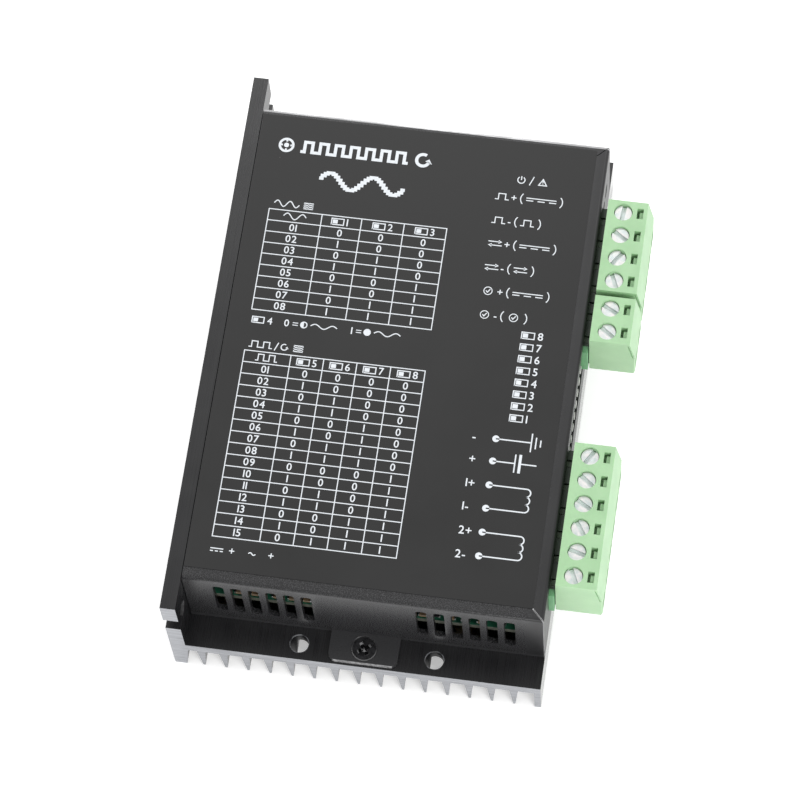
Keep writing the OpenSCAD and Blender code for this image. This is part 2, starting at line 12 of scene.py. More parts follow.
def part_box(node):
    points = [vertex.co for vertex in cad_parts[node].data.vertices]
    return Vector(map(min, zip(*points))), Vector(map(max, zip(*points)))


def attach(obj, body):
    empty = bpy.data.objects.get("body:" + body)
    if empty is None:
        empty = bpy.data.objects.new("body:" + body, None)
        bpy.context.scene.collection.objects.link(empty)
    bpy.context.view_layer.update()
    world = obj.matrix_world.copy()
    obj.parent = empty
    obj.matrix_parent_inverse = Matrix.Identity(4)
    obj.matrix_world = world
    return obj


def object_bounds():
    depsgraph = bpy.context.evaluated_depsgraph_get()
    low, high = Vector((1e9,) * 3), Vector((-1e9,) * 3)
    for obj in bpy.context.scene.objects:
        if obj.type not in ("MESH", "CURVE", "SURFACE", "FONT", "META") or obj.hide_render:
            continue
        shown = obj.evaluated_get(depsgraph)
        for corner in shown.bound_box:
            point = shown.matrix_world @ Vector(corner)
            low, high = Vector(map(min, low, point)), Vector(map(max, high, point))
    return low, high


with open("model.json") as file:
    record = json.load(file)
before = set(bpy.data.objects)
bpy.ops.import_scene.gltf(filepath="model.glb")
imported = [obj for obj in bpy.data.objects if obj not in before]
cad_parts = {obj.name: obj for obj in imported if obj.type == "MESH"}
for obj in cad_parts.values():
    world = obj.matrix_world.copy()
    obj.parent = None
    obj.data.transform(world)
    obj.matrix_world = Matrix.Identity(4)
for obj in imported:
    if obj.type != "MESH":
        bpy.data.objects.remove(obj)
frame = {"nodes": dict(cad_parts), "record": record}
cad_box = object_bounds()
MM = 0.001

# ---------------------------------------------------------------- places taken from the frame

CASE_LOW, CASE_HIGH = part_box("heat_sink")
COVER_LOW, COVER_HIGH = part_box("cover")
LABEL_LOW, LABEL_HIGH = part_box("cover_label")
BOARD_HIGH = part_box("main_board")[1]
HEADER_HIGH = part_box("header_4way")[1]
FLANGE_HOLES = next(m for m in frame["record"]["mounts"] if m["name"] == "flange_holes")
PLATE_TOP = FLANGE_HOLES["pos_m"][2]
TAB_SHEET = 1.2 * MM
TAB_REACH = 6.35 * MM
PANEL_Y = COVER_HIGH.y - TAB_REACH  # how far the cover's end panels stand from the middle


def middle(box):
    return (box[0] + box[1]) / 2


# ---------------------------------------------------------------- material building blocks


class Look:
    """A procedural material, built one shader node at a time."""

    def __init__(self, name, **inputs):
        self.material = bpy.data.materials.new(name)
        self.material.use_nodes = True
        self.tree = self.material.node_tree
        self.surface = self.tree.nodes["Principled BSDF"]
        self.normal = None
        self.set(**inputs)

    def set(self, **inputs):
        """Sets or links inputs of the surface shader; base_color means its input Base Color."""
        for name, value in inputs.items():
            title = name.replace("_", " ").title().replace("Ior", "IOR")
            self.feed(self.surface.inputs[title], value)

    def feed(self, socket, value):
        if isinstance(value, bpy.types.NodeSocket):
            self.tree.links.new(value, socket)
        elif isinstance(value, (tuple, list)) and len(value) == 3 and socket.type == "RGBA":
            socket.default_value = (*value, 1)
        else:
            socket.default_value = value

    def add(self, kind, out=0, settings=None, **inputs):
        node = self.tree.nodes.new("ShaderNode" + kind)
        for key, value in (settings or {}).items():
            setattr(node, key, value)
        for key, value in inputs.items():
            index = int(key[1:]) if key[0] == "i" and key[1:].isdigit() else key.replace("_", " ")
            self.feed(node.inputs[index], value)
        return node.outputs[out]

    def place(self, scale=(1, 1, 1), shift=(0, 0, 0)):
        """The point in the row frame at rest, in metres, moved and then scaled."""
        point = self.add("TexCoord", out="Object")
        return self.add("Mapping", Vector=point, Location=shift, Scale=scale)

    def part(self, vector, name):
        return self.add("SeparateXYZ", out=name, Vector=vector)

    def axis(self, name):
        """One coordinate of the point in the row frame at rest."""
        return self.part(self.add("TexCoord", out="Object"), name)

    def specks(self, size, radius, share):
        """Round specks, at most one to a cell. The size of a cell is in metres."""
        cells = self.add("TexVoronoi", Vector=self.place(), Scale=1 / size)
        return self.times(self.below(cells, radius), share)

    def math(self, operation, a, b=0.0, c=0.0):
        return self.add("Math", settings={"operation": operation}, i0=a, i1=b, i2=c)

    def times(self, a, b):
        return self.math("MULTIPLY", a, b)

    def minus(self, a, b):
        return self.math("SUBTRACT", a, b)

    def most(self, a, b):
        return self.math("MAXIMUM", a, b)

    def above(self, value, limit):
        """1 where a value is above a limit, else 0."""
        return self.math("GREATER_THAN", value, limit)

    def below(self, value, limit):
        """1 where a value is below a limit, else 0."""
        return self.math("LESS_THAN", value, limit)

    def distance(self, a, b=None):
        """How far two values are apart, or one value is from zero."""
        return self.math("ABSOLUTE", a if b is None else self.minus(a, b))

    def scale(self, value, factor, base):
        """A value times a factor, plus a base."""
        return self.math("MULTIPLY_ADD", value, factor, base)

    def noise(self, size, detail=2.0, rough=0.5, stretch=(1, 1, 1)):
        """Noise with features of a size in metres, stretched along the axes."""
        place = self.place(scale=tuple(1 / s for s in stretch))
        return self.add("TexNoise", Vector=place, Scale=1 / size, Detail=detail, Roughness=rough)

    def spread(self, value, low, high, out_low=0.0, out_high=1.0):
        """Maps a value from one range to another, and clamps it."""
        return self.add(
            "MapRange", Value=value, From_Min=low, From_Max=high, To_Min=out_low, To_Max=out_high
        )

    def mix(self, share, a, b):
        node = self.tree.nodes.new("ShaderNodeMix")
        node.data_type = "RGBA"
        self.feed(node.inputs[0], share)
        self.feed(node.inputs[6], a)
        self.feed(node.inputs[7], b)
        return node.outputs[2]

    def blend(self, noise, a, b):
        """A colour between two, led by a noise."""
        return self.mix(self.spread(noise, 0.3, 0.7), a, b)

    def bump(self, height, distance, strength=1.0):
        """Adds a bump whose full height is a distance in metres."""
        inputs = {"Height": height, "Distance": distance, "Strength": strength}
        if self.normal is not None:
            inputs["Normal"] = self.normal
        self.normal = self.add("Bump", **inputs)
        self.set(normal=self.normal)


# ---------------------------------------------------------------- materials

SILVER = (0.60, 0.60, 0.61)


def flange_hole_mask(look):
    """1 on the bare walls of the four flange holes."""
    dims = FLANGE_HOLES["dims"]
    edge_round = 0.13
    x = look.distance(look.axis("X"), FLANGE_HOLES["pos_m"][0])
    y = look.distance(look.axis("Y"))
    dx = look.minus(x, dims["spacing_x_mm"] / 2 * MM)
    dy = look.minus(y, dims["spacing_y_mm"] / 2 * MM)
    square = look.math("ADD", look.times(dx, dx), look.times(dy, dy))
    return look.below(look.math("SQRT", square), (dims["hole_r_mm"] + edge_round) * MM)


def anodised():
    """Black anodised extrusion: fine lines along Y, bare metal on every cut face and round the
    rims of the flange holes, whose walls are painted shade.
    """
    look = Look("anodised_aluminium", ior=1.5)
    skin = 0.03 * MM
    cut = look.above(look.distance(look.axis("Y")), CASE_HIGH.y - skin)
    # a patchy bare rim round each flange hole, over painted shade: the wall below it mirrors
    # nothing, so it stays dark as if in shadow
    rim = look.spread(look.axis("Z"), PLATE_TOP - 0.45 * MM, PLATE_TOP - 0.25 * MM)
    hole = flange_hole_mask(look)
    burr = look.times(rim, look.spread(look.noise(1.3 * MM, detail=2), 0.40, 0.58, 0.08, 0.85))
    silver_share = look.most(cut, look.times(hole, burr))
    painted_shade_wall = look.times(hole, look.minus(1.0, rim))
    look.set(specular_ior_level=look.scale(painted_shade_wall, -0.45, 0.5))
    lines = look.noise(0.25 * MM, detail=3, rough=0.7, stretch=(1, 160, 1))
    cloud = look.noise(7 * MM, detail=3)
    black = look.blend(cloud, (0.006, 0.006, 0.007), (0.012, 0.012, 0.013))
    black = look.mix(look.specks(6 * MM, 0.020, 0.6), black, (0.55, 0.55, 0.55))
    saw = look.noise(0.3 * MM, detail=3, rough=0.7, stretch=(30, 1, 1))
    silver = look.blend(saw, (0.25, 0.255, 0.27), (0.43, 0.44, 0.465))
    look.set(base_color=look.mix(silver_share, black, silver))
    look.set(metallic=look.times(silver_share, 0.85))
    satin = look.spread(lines, 0.3, 0.7, 0.22, 0.36)
    # the side towards the terminals is glossier
    side = look.above(look.axis("X"), CASE_HIGH.x - skin)
    satin = look.times(satin, look.scale(side, -0.55, 1.0))
    look.set(roughness=look.add("Mix", Factor=silver_share, i2=satin, i3=0.5))
    look.bump(lines, 0.012 * MM, 0.6)
    look.bump(look.times(saw, silver_share), 0.02 * MM, 0.7)
    return look.material


def powder_coat():
    """Black powder coat: a fine grain, pale specks, bare steel at worn edges, and a painted
    highlight along the far bend.
    """
    look = Look("powder_coat", ior=1.5)
    grain = look.noise(0.22 * MM, detail=2, rough=0.6)
    cloud = look.noise(12 * MM, detail=2)
    base = look.blend(cloud, (0.008, 0.008, 0.009), (0.013, 0.013, 0.014))
    # the grain is calmer towards the terminals, and the tabs are smoother than the rest
    calm = look.spread(look.axis("X"), COVER_HIGH.x - 4 * MM, COVER_HIGH.x - 1.5 * MM, 1.0, 0.1)
    tab = look.below(look.axis("Z"), COVER_LOW.z + TAB_SHEET * 1.05)
    rest = look.minus(1.0, tab)
    grain = look.times(look.minus(grain, 0.5), look.scale(rest, 0.75, 0.25))
    grain = look.math("ADD", grain, 0.5)
    grained = look.times(look.spread(grain, 0.48, 0.72), calm)
    grained = look.scale(tab, 0.26, grained)
    light = look.mix(grained, base, (0.060, 0.060, 0.063))
    light = look.mix(look.specks(5 * MM, 0.018, 0.55), light, (0.5, 0.5, 0.5))
    # distance from the plane of the open mitre at the near corner
    x = look.minus(COVER_HIGH.x, look.axis("X"))
    y = look.math("ADD", look.axis("Y"), PANEL_Y)
    off = look.distance(x, y)
    inside = look.below(look.most(x, look.distance(y)), 2.6 * MM)
    mitre = look.times(look.below(off, 0.17 * MM), inside)
    # the coat is thin and worn on the sheet's cut edge all round the two tabs
    end = look.above(look.distance(look.axis("Y")), COVER_HIGH.y - 0.10 * MM)
    wear_and_highlight = look.spread(look.noise(0.9 * MM, detail=3, rough=0.7), 0.36, 0.56, 0.20, 0.65)
    edge = look.times(look.times(tab, end), wear_and_highlight)
    # painted highlight: the far bend is painted pale where it would catch the light
    far = look.above(look.axis("Y"), PANEL_Y - 0.70 * MM)
    high = look.above(look.axis("Z"), COVER_HIGH.z - 0.9 * MM)
    highlight_streaks = look.noise(2.5 * MM, detail=3, rough=0.6, stretch=(4, 1, 1))
    far_bend_highlight = look.times(look.times(far, high), look.spread(highlight_streaks, 0.35, 0.6, 0.5, 0.9))
    # the share of silver: bare steel at the mitre and the tab edges, and the painted highlight on
    # the far bend
    silver_share = look.most(look.most(mitre, edge), far_bend_highlight)
    look.set(base_color=look.mix(silver_share, light, SILVER), metallic=look.times(silver_share, 0.3))
    gloss = look.spread(grain, 0.3, 0.7, 0.22, 0.36)
    look.set(roughness=look.scale(look.minus(1.0, calm), 0.13, gloss))
    look.bump(grain, 0.012 * MM, 0.35)
    return look.material


def label_film():
    """Smooth printed film: soft mottling, faint scuffs and dust."""
    look = Look("label_film", ior=1.45)
    cloud = look.noise(15 * MM, detail=3)
    fine = look.noise(0.12 * MM, detail=1)
    scuff = look.noise(0.5 * MM, detail=4, rough=0.7, stretch=(14, 1, 1))
    base = look.blend(cloud, (0.007, 0.007, 0.007), (0.012, 0.012, 0.012))
    base = look.mix(look.spread(scuff, 0.70, 0.85, 0, 0.4), base, (0.06, 0.06, 0.062))
    base = look.mix(look.specks(6 * MM, 0.011, 0.3), base, (0.5, 0.5, 0.5))
    look.set(base_color=base, roughness=look.spread(cloud, 0.3, 0.7, 0.40, 0.46))
    look.bump(fine, 0.004 * MM, 0.4)
    return look.material


def ink():
    """White screen print, slightly uneven."""
    look = Look("print_ink", roughness=0.5)
    patch = look.noise(0.6 * MM, detail=3, rough=0.6)
    look.set(base_color=look.blend(patch, (0.66, 0.70, 0.74), (0.80, 0.83, 0.86)))
    look.bump(patch, 0.006 * MM, 0.5)
    return look.material


def plastic(name, low, high, rough=(0.34, 0.46), grain=0.10, height=0.012, shine=0.5):
    """Moulded plastic: cloudy colour, a fine spark-eroded grain and uneven gloss."""
    look = Look(name, ior=1.5, specular_ior_level=shine)
    cloud = look.noise(5 * MM, detail=3)
    fine = look.noise(grain * MM, detail=2)
    colour = look.blend(cloud, low, high)
    look.set(base_color=colour, roughness=look.spread(fine, 0.3, 0.7, *rough))
    look.bump(fine, height * MM, 0.5)
    return look.material


def plug_plastic():
    """Pale green, with painted shade on the keys where they stand in the slot between cover and
    plugs.
    """
    look = Look("plug_green", ior=1.5)
    cloud = look.noise(5 * MM, detail=3)
    fine = look.noise(0.12 * MM, detail=2)
    colour = look.blend(cloud, (0.335, 0.55, 0.31), (0.385, 0.605, 0.355))
    # painted shade: the keys and the plug's edge in the narrow slot are painted nearly black,
    # where cover and plug shade them
    painted_shade = look.blend(cloud, (0.020, 0.032, 0.018), (0.040, 0.060, 0.034))
    off = look.distance(look.axis("X"), HEADER_HIGH.x - 0.55 * MM)
    slot = look.spread(off, 0.60 * MM, 0.72 * MM, 0.9, 0.0)
    key = look.above(look.axis("Z"), HEADER_HIGH.z - 0.95 * MM)
    gap = look.above(look.axis("X"), HEADER_HIGH.x - 0.02 * MM)
    slot = look.times(slot, look.most(key, gap))
    look.set(base_color=look.mix(slot, colour, painted_shade))
    look.set(roughness=look.spread(fine, 0.3, 0.7, 0.36, 0.46))
    look.surface.subsurface_method = "BURLEY"
    look.set(subsurface_weight=0.15, subsurface_scale=0.6 * MM, subsurface_radius=(0.5, 1.0, 0.45))
    look.bump(fine, 0.010 * MM, 0.5)
    return look.material


def header_plastic():
    """Darker green than the plugs, and painted nearly black as painted shade in the slot between
    cover and plugs.
    """
    look = Look("header_green", ior=1.5)
    cloud = look.noise(5 * MM, detail=3)
    fine = look.noise(0.10 * MM, detail=2)
    colour = look.blend(cloud, (0.13, 0.36, 0.16), (0.17, 0.43, 0.20))
    # painted shade: the header's top inside the slot, short of the two lit near ends, is painted
    # nearly black
    inner = look.below(look.axis("X"), HEADER_HIGH.x + 0.01 * MM)
    top = look.above(look.axis("Z"), HEADER_HIGH.z - 1.6 * MM)
    deep = look.times(inner, top)
    # the near ends of these two stand in the light
    for header in ("header_2way", "header_6way"):
        reach = look.minus(look.axis("Y"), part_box(header)[0].y)
        deep = look.times(deep, look.above(look.distance(reach, 0.6 * MM), 0.9 * MM))
    painted_shade = look.blend(cloud, (0.010, 0.014, 0.009), (0.020, 0.030, 0.018))
    look.set(base_color=look.mix(look.times(deep, 0.93), colour, painted_shade))
    look.set(roughness=look.spread(fine, 0.3, 0.7, 0.34, 0.45))
    look.bump(fine, 0.012 * MM, 0.5)
    return look.material


def metal(name, low, high, rough=(0.25, 0.42), size=0.3):
    """Plated or bare metal with fine tool marks and a patchy tone. The size is in millimetres."""
    look = Look(name, metallic=1.0)
    marks = look.noise(size * MM, detail=3, rough=0.65)
    cloud = look.noise(3 * MM, detail=2)
    look.set(base_color=look.blend(cloud, low, high))
    look.set(roughness=look.spread(marks, 0.3, 0.7, *rough))
    look.bump(marks, 0.006 * MM, 0.6)
    return look.material


def terminal_steel():
    """Nickel-plated screw heads with faint turned rings, and a painted highlight on the floor of
    each slot.
    """
    look = Look("terminal_steel", metallic=0.75)
    corner = look.add("TexCoord", out="Generated")
    place = look.add("Mapping", Vector=corner, Location=(-0.5, -0.5, 0))
    rings = look.add(
        "TexWave",
        settings={"wave_type": "RINGS", "rings_direction": "Z"},
        Vector=place, Scale=9.0, Distortion=0.4, Detail=2.0,
    )
    cloud = look.noise(1.2 * MM, detail=3)
    nickel = look.mix(look.spread(cloud, 0.35, 0.65), (0.60, 0.655, 0.655), (0.83, 0.79, 0.79))
    # painted highlight: the floor of the slot is painted duller, paler and bluish, to read as lit
    # inside the slot's shade
    slot = look.below(look.axis("Z"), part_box("terminal_screw_1")[1].z - 0.45 * MM)
    look.set(base_color=look.mix(look.times(slot, 0.7), nickel, (0.86, 0.93, 0.93)))
    look.set(metallic=look.scale(slot, -0.55, 0.75))
    look.set(roughness=look.spread(cloud, 0.3, 0.7, 0.34, 0.5))
    look.bump(rings, 0.006 * MM, 0.5)
    return look.material


def cover_screw_steel():
    """Black oxide, with painted highlights round the head's outer edge and in the driver's cross,
    and painted shade on the cross's floor.
    """
    look = Look("black_oxide", metallic=1.0)
    low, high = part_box("cover_screws")
    head_r = (high.x - low.x) / 2
    x = look.minus(look.axis("X"), (low.x + high.x) / 2)
    y = look.minus(look.distance(look.axis("Y")), high.y - head_r)
    flat = look.add("CombineXYZ", i0=x, i1=y, i2=0.0)
    radius = look.add("VectorMath", settings={"operation": "LENGTH"}, out=1, i0=flat)
    cloud = look.noise(0.7 * MM, detail=3)
    tone = look.blend(cloud, (0.035, 0.035, 0.037), (0.070, 0.070, 0.074))
    # painted highlight: the head's edge, brighter on the outward side
    ring = look.above(radius, head_r - 0.20 * MM)
    outward = look.spread(y, -0.3 * MM, 1.2 * MM, 0.12, 0.50)
    # painted highlights on the upper walls of the cross
    deep = look.below(look.axis("Z"), high.z - 0.32 * MM)
    wall = look.below(look.axis("Z"), high.z - 0.05 * MM)
    inside = look.below(radius, head_r - 0.45 * MM)
    glint = look.times(look.times(wall, inside), look.spread(cloud, 0.40, 0.50))
    glint = look.times(glint, look.minus(1.0, deep))
    # its floor is painted shade, darker than the head, with painted highlights at the middle and
    # at the tips
    tone = look.mix(deep, tone, (0.012, 0.012, 0.013))
    hub = look.below(radius, 0.55 * MM)
    hub_patches = look.spread(look.noise(0.30 * MM, detail=1), 0.46, 0.54)
    tips = look.times(look.above(radius, 1.20 * MM), 0.5)
    wear_and_highlight = look.times(deep, look.most(look.times(hub, hub_patches), tips))
    share = look.most(look.most(look.times(ring, outward), glint), wear_and_highlight)
    look.set(base_color=look.mix(share, tone, SILVER))
    look.set(roughness=look.spread(cloud, 0.3, 0.7, 0.22, 0.38))
    look.bump(cloud, 0.008 * MM, 0.5)
    return look.material


def solder_mask():
    """Green solder mask over faint tracks, with a glass-fibre edge painted dark as painted shade
    inside the case.
    """
    look = Look("solder_mask", ior=1.5)
    tracks = look.add(
        "TexVoronoi",
        settings={"distance": "CHEBYCHEV", "feature": "F1"},
        Vector=look.place(), Scale=1 / (2.6 * MM), Randomness=0.9,
    )
    track = look.spread(tracks, 0.30, 0.34)
    green = look.mix(track, (0.010, 0.070, 0.040), (0.018, 0.115, 0.065))
    cloud = look.noise(0.4 * MM, detail=3, stretch=(1, 1, 0.4))
    # painted shade: the glass-fibre edge gets a dark colour for the shade it stands in behind the
    # vents
    fibre = look.blend(cloud, (0.045, 0.05, 0.037), (0.10, 0.105, 0.08))
    upright = look.part(look.add("NewGeometry", out="True Normal"), "Z")
    edge = look.below(look.distance(upright), 0.5)
    look.set(base_color=look.mix(edge, green, fibre), roughness=look.scale(edge, 0.4, 0.3))
    look.bump(track, 0.03 * MM, 0.6)
    return look.material


def status_lens():
    """Two clear lenses, tinted green and red."""
    look = Look("status_lens", roughness=0.12, transmission_weight=0.5)
    first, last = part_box("status_leds")
    far = look.above(look.axis("Y"), (first.y + last.y) / 2)
    cloud = look.noise(1.5 * MM, detail=2)
    green = look.mix(cloud, (0.15, 0.62, 0.25), (0.25, 0.75, 0.35))
    red = look.mix(cloud, (0.62, 0.08, 0.06), (0.75, 0.14, 0.10))
    look.set(base_color=look.mix(far, red, green))
    look.bump(cloud, 0.01 * MM, 0.3)
    return look.material


# name, darker tone, lighter tone, then roughness and size of the marks where they aren't usual
METALS = {
    "zinc": ("zinc_plate", (0.55, 0.56, 0.56), (0.68, 0.69, 0.68)),
    "tin": ("bright_tin", (0.66, 0.67, 0.68), (0.80, 0.81, 0.82), (0.18, 0.34), 0.2),
    "brass": ("yellow_brass", (0.58, 0.42, 0.16), (0.70, 0.53, 0.25), (0.22, 0.4), 0.3),
    "clamp": ("clamp_brass", (0.56, 0.50, 0.34), (0.70, 0.63, 0.44), (0.25, 0.45), 0.25),
}

PLASTICS = {
    "epoxy": dict(
        name="black_epoxy", low=(0.012, 0.012, 0.013), high=(0.022, 0.022, 0.023),
        rough=(0.45, 0.65), grain=0.08, height=0.02,
    ),
    "pad": dict(
        name="grey_silicone", low=(0.36, 0.38, 0.40), high=(0.44, 0.46, 0.48),
        rough=(0.6, 0.8), grain=0.3, height=0.02,
    ),
    "sleeve": dict(
        name="can_sleeve", low=(0.012, 0.014, 0.022), high=(0.020, 0.024, 0.034),
        rough=(0.15, 0.25), grain=0.5, height=0.01,
    ),
    "ferrite": dict(
        name="ferrite", low=(0.030, 0.030, 0.032), high=(0.060, 0.060, 0.062),
        rough=(0.6, 0.8), grain=0.12, height=0.03,
    ),
    "resistor": dict(
        name="resistor_glaze", low=(0.012, 0.012, 0.014), high=(0.02, 0.02, 0.024),
        rough=(0.2, 0.35), grain=0.2,
    ),
    "switch": dict(
        name="switch_black", low=(0.010, 0.010, 0.011), high=(0.018, 0.018, 0.019),
        rough=(0.6, 0.8), shine=0.0,
    ),
    "ceramic": dict(
        name="chip_ceramic", low=(0.20, 0.13, 0.075), high=(0.30, 0.21, 0.13),
        rough=(0.3, 0.45), grain=0.15,
    ),
    "slider": dict(
        name="slider_white", low=(0.40, 0.40, 0.38), high=(0.50, 0.50, 0.48), rough=(0.3, 0.42),
    ),
}


def make_looks():
    looks = {
        "anodised": anodised(),
        "coat": powder_coat(),
        "film": label_film(),
        "ink": ink(),
        "plug": plug_plastic(),
        "header": header_plastic(),
        "terminal": terminal_steel(),
        "black_screw": cover_screw_steel(),
        "board": solder_mask(),
        "lens": status_lens(),
    }
    looks.update({key: metal(*values) for key, values in METALS.items()})
    looks.update({key: plastic(**values) for key, values in PLASTICS.items()})
    return looks


NODE_LOOK = {
    "heat_sink": "anodised", "cover": "coat", "cover_label": "film", "cover_screws": "black_screw",
    "main_board": "board", "board_standoffs": "brass", "inner_screws": "zinc",
    "power_transistors": "epoxy", "transistor_frames": "tin", "insulating_pad": "pad",
    "clamp_bar": "zinc", "bulk_capacitors": "sleeve", "power_inductor": "ferrite",
    "sense_resistors": "resistor", "control_chips": "epoxy", "component_leads": "tin",
    "header_": "header", "header_pins": "tin", "dip_switch_body": "switch", "status_leds": "lens",
    "plug_": "plug", "plug_contacts_": "tin", "terminal_screw_": "terminal",
    "wire_clamp_": "clamp", "dip_slider_": "slider",
}


# Rounding of the edges in millimetres. A key with _ at its end stands for a numbered row.
EDGE_WIDTH = {
    "heat_sink": 0.14, "cover": 0.10, "cover_screws": 0.06, "main_board": 0.06,
    "insulating_pad": 0.05, "clamp_bar": 0.12, "power_transistors": 0.12, "bulk_capacitors": 0.3,
    "power_inductor": 0.25, "sense_resistors": 0.08, "control_chips": 0.08,
    "header_4way": 0.10, "header_2way": 0.10, "header_6way": 0.10,
    "plug_4way": 0.12, "plug_2way": 0.12, "plug_6way": 0.12,
    "terminal_screw_": 0.08, "wire_clamp_": 0.08, "dip_switch_body": 0.08, "dip_slider_": 0.10,
}


def edge_of(node):
    """The rounding of a node's edges, or None."""
    keys = [k for k in EDGE_WIDTH if node == k or (k.endswith("_") and node.startswith(k))]
    return EDGE_WIDTH[keys[0]] if keys else None


def look_of(node):
    """The look whose key is the longest start of the node's name."""
    key = max((k for k in NODE_LOOK if node.startswith(k)), key=len)
    return LOOKS[NODE_LOOK[key]]


def paint(obj, material):
    obj.data.materials.clear()
    obj.data.materials.append(material)


def soften(obj, width):
    """Rounds the sharp edges of a CAD node with real geometry. The width is in millimetres."""
    weld = obj.modifiers.new("weld", "WELD")
    weld.merge_threshold = 0.002 * MM
    bevel = obj.modifiers.new("edges", "BEVEL")
    bevel.width = width * MM
    bevel.segments = 2
    bevel.limit_method = "ANGLE"
    bevel.angle_limit = math.radians(40)
    bevel.use_clamp_overlap = True


# ---------------------------------------------------------------- mesh building blocks

INK_LIFT = 0.004 * MM
INK_THICKNESS = 0.02
RING_SIDES = 28
TEXT_HEIGHT = 1.5
DOT_RADIUS = 0.72
SWITCH_COUNT = 8


def add_piece(mesh, name, material):
    """Turns a bmesh into a piece that rides on the root body."""
    data = bpy.data.meshes.new(name)
    mesh.to_mesh(data)
    mesh.free()
    obj = bpy.data.objects.new(name, data)
    bpy.context.scene.collection.objects.link(obj)
    paint(obj, material)
    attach(obj, "root")


class Sheet:
    """Flat printed shapes in one mesh, in millimetres: u to the right, v up and w out."""

    def __init__(self, origin, right=(1, 0, 0), up=(0, 1, 0)):
        self.mesh = bmesh.new()
        self.origin = Vector(origin)
        self.right, self.up = Vector(right), Vector(up)
        self.out = self.right.cross(self.up)

    def vertex(self, u, v, w):
        offset = self.right * u + self.up * v + self.out * w
        return self.mesh.verts.new(self.origin + offset * MM)

    def polygon(self, points):
        low = [self.vertex(u, v, 0) for u, v in points]
        high = [self.vertex(u, v, INK_THICKNESS) for u, v in points]
        self.mesh.faces.new(high)
        self.mesh.faces.new(low[::-1])
        for i in range(len(points)):
            j = (i + 1) % len(points)
            self.mesh.faces.new((low[i], low[j], high[j], high[i]))

    def bar(self, x0, y0, x1, y1):
        self.polygon([(x0, y0), (x1, y0), (x1, y1), (x0, y1)])

    def disc(self, x, y, radius, start=0, sweep=360, sides=RING_SIDES):
        """A whole disc, or the part of one under a sweep in degrees."""
        whole = sweep == 360
        end = start + (sweep * (1 - 1 / sides) if whole else sweep)
        self.polygon(arc(x, y, radius, start, end, sides if whole else sides + 1))

    def path(self, points, width):
        """A stroke of even width along points, with mitred corners."""
        sides = []
        last = len(points) - 1
        for i, (x, y) in enumerate(points):
            normals = []
            for a, b in ((i - 1, i), (i, i + 1)):
                if a >= 0 and b <= last:
                    dx, dy = points[b][0] - points[a][0], points[b][1] - points[a][1]
                    length = math.hypot(dx, dy)
                    normals.append((-dy / length, dx / length))
            nx, ny = sum(n[0] for n in normals), sum(n[1] for n in normals)
            scale = width / 2 / (nx * normals[0][0] + ny * normals[0][1])
            sides.append(((x + nx * scale, y + ny * scale), (x - nx * scale, y - ny * scale)))
        for (a, b), (c, d) in zip(sides, sides[1:]):
            self.polygon([b, d, c, a])

    def ring(self, x, y, radius, width):
        self.path(arc(x, y, radius, 0, 360, RING_SIDES + 1), width)

    def stamp(self, glyph, x, y, height):
        """Adds a glyph made by glyph_mesh, its lower left corner at x, y."""
        verts, faces = glyph
        made = [
            self.vertex(x + u * height, y + v * height, w * INK_THICKNESS) for u, v, w in verts
        ]
        for face in faces:
            self.mesh.faces.new([made[i] for i in face])

    def finish(self, name):
        bmesh.ops.recalc_face_normals(self.mesh, faces=self.mesh.faces)
        add_piece(self.mesh, name, LOOKS["ink"])


def arc(x, y, radius, start, end, count):
    """Points on an arc, from a start angle to an end angle in degrees."""
    angles = [math.radians(start + (end - start) * i / (count - 1)) for i in range(count)]
    return [(x + radius * math.cos(a), y + radius * math.sin(a)) for a in angles]


def glyph_mesh(sign):
    """(vertices, faces) of a numeral or sign, one unit high, extruded from 0 to 1."""
    curve = bpy.data.curves.new("glyph", "FONT")
    curve.body = sign
    curve.extrude = 0.05
    curve.offset = 0.010
    curve.resolution_u = 3
    obj = bpy.data.objects.new("glyph", curve)
    bpy.context.scene.collection.objects.link(obj)
    drawn = obj.evaluated_get(bpy.context.evaluated_depsgraph_get())
    data = bpy.data.meshes.new_from_object(drawn)
    places = [v.co.copy() for v in data.vertices]
    faces = [tuple(p.vertices) for p in data.polygons]
    cap = 0.7
    low_x = min(p.x for p in places)
    low_y = min(p.y for p in places) if sign.isdigit() else 0
    verts = [((p.x - low_x) / cap, (p.y - low_y) / cap, 0 if p.z < 0 else 1) for p in places]
    bpy.data.objects.remove(obj)
    bpy.data.curves.remove(curve)
    bpy.data.meshes.remove(data)
    return verts, faces


def numerals(sheet, text, x, y, height, centred=False):
    """Prints numerals and signs from x, or centred on x, and returns where they end."""
    gap = 0.16 * height
    widths = [max(u for u, _, _ in GLYPHS[c][0]) * height for c in text]
    if centred:
        x -= (sum(widths) + gap * (len(text) - 1)) / 2
    for c, w in zip(text, widths):
        sheet.stamp(GLYPHS[c], x, y, height)
        x += w + gap
    return x


# ---------------------------------------------------------------- symbols, in place of words
# Each draws itself from x, y with a height h and a line width w, and returns where it ends.


def pulses(sheet, x, y, h, w, count=1, step=None):
    """Square pulses."""
    step = step or 0.95 * h
    low, high = y + w / 2, y + h - w / 2
    points = [(x, low)]
    for i in range(count):
        a = x + (0.5 + 2 * i) * step
        b = a + step
        points += [(a, low), (a, high), (b, high), (b, low)]
    end = x + 2 * count * step
    sheet.path(points + [(end, low)], w)
    return end


def arrow(sheet, x0, x1, y, head, w):
    """A straight arrow from x0 to x1."""
    way = 1 if x1 > x0 else -1
    sheet.path([(x0, y), (x1 - way * head * 0.6, y)], w)
    back, half = x1 - way * head, way * head * 0.55
    sheet.polygon([(x1, y), (back, y + half), (back, y - half)])


def two_ways(sheet, x, y, h, w):
    """Two opposite arrows: direction."""
    end = x + 1.9 * h
    arrow(sheet, x, end, y + 0.78 * h, 0.5 * h, w)
    arrow(sheet, end, x, y + 0.22 * h, 0.5 * h, w)
    return end


